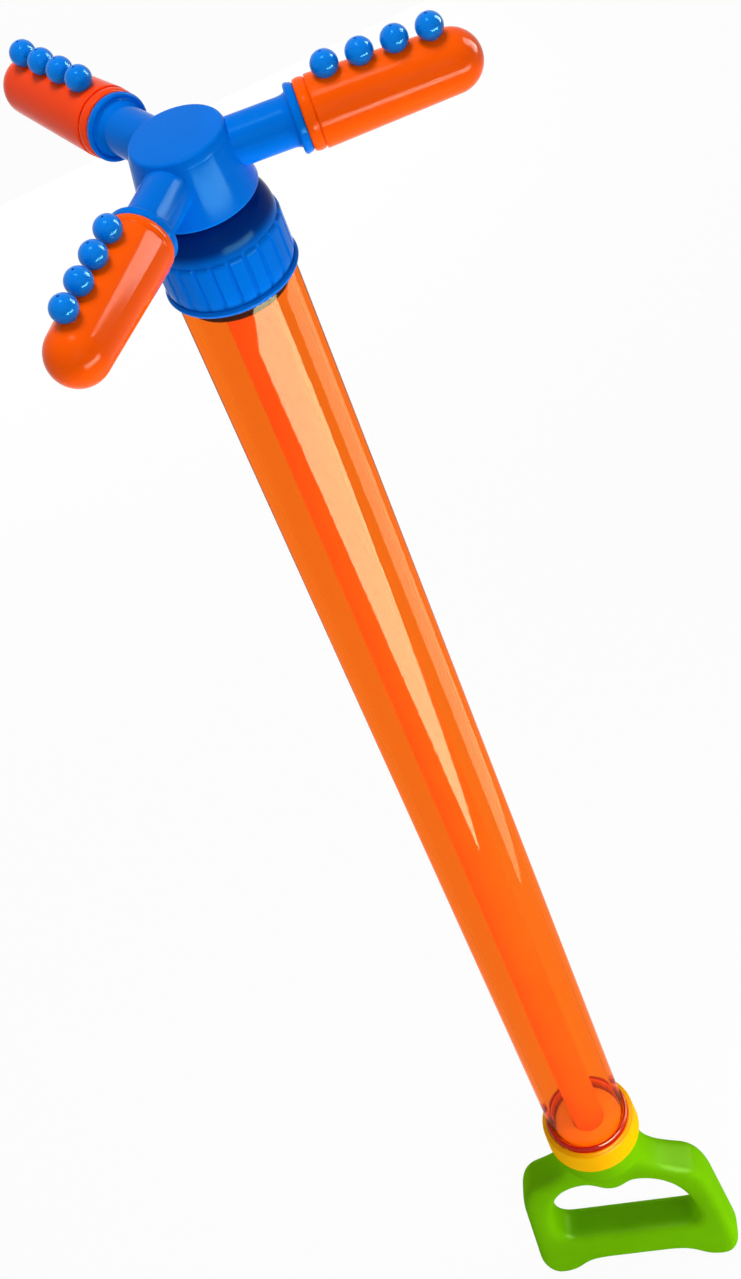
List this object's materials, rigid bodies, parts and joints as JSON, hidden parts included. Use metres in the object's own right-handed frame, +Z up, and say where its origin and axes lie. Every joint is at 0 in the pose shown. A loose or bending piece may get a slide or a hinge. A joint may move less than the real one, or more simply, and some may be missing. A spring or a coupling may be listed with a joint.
{
  "type": "water squirter",
  "caption": "Hand-pump water squirter: a D-handled plunger slides in a long translucent barrel topped by a ribbed screw collar and a free-spinning sprinkler head with ball nozzles.",
  "frame": {"origin": "on the barrel's axis, on the flat palm face under the handle's grip bar", "axes": "+Z up the barrel from the handle to the spinning head, X along the grip bar, Y across the handle's thickness"},
  "size_m": [0.1481, 0.1517, 0.7366],
  "materials": {
    "green_plastic": "satin moulded",
    "yellow_plastic": "glossy moulded",
    "red_rubber": "smooth",
    "clear_orange": "glossy translucent",
    "orange_plastic": "glossy moulded",
    "blue_plastic": "satin moulded",
    "nozzle_plastic": "glossy moulded",
    "rod_plastic": "glossy extruded",
    "natural_plastic": "smooth moulded",
    "black_plastic": "smooth moulded",
    "seal_rubber": "smooth",
    "steel": "plated"
  },
  "bodies": {
    "plunger": {"handle": "green_plastic", "handle_screw": "steel", "rod_plug": "natural_plastic", "plunger_rod": "rod_plastic", "piston_head": "black_plastic", "piston_seal": "seal_rubber"},
    "barrel": {"barrel_tube": "clear_orange", "end_cap": "yellow_plastic", "end_seal": "red_rubber", "rod_guide": "natural_plastic", "collar_gasket": "seal_rubber", "pivot_stem": "blue_plastic", "stem_seal": "seal_rubber", "screw_collar": "blue_plastic", "thrust_washer": "natural_plastic", "stem_clip": "steel"},
    "spinner": {"hub": "blue_plastic", "hub_cap": "blue_plastic", "capsule_1": "orange_plastic", "capsule_2": "orange_plastic", "capsule_3": "orange_plastic", "capsule_seal_1": "seal_rubber", "capsule_seal_2": "seal_rubber", "capsule_seal_3": "seal_rubber", "nozzle_1_1": "nozzle_plastic", "nozzle_1_2": "nozzle_plastic", "nozzle_1_3": "nozzle_plastic", "nozzle_1_4": "nozzle_plastic", "nozzle_2_1": "nozzle_plastic", "nozzle_2_2": "nozzle_plastic", "nozzle_2_3": "nozzle_plastic", "nozzle_2_4": "nozzle_plastic", "nozzle_3_1": "nozzle_plastic", "nozzle_3_2": "nozzle_plastic", "nozzle_3_3": "nozzle_plastic", "nozzle_3_4": "nozzle_plastic"}
  },
  "joints": [
    {"name": "pump_slide", "type": "slide", "parent": "plunger", "child": "barrel", "axis": [0, 0, 1], "range_m": [0, 0.522]},
    {"name": "head_spin", "type": "hinge", "parent": "barrel", "child": "spinner", "pos_m": [0, 0, 0.7], "axis": [0, 0, 1], "continuous": true}
  ]
}
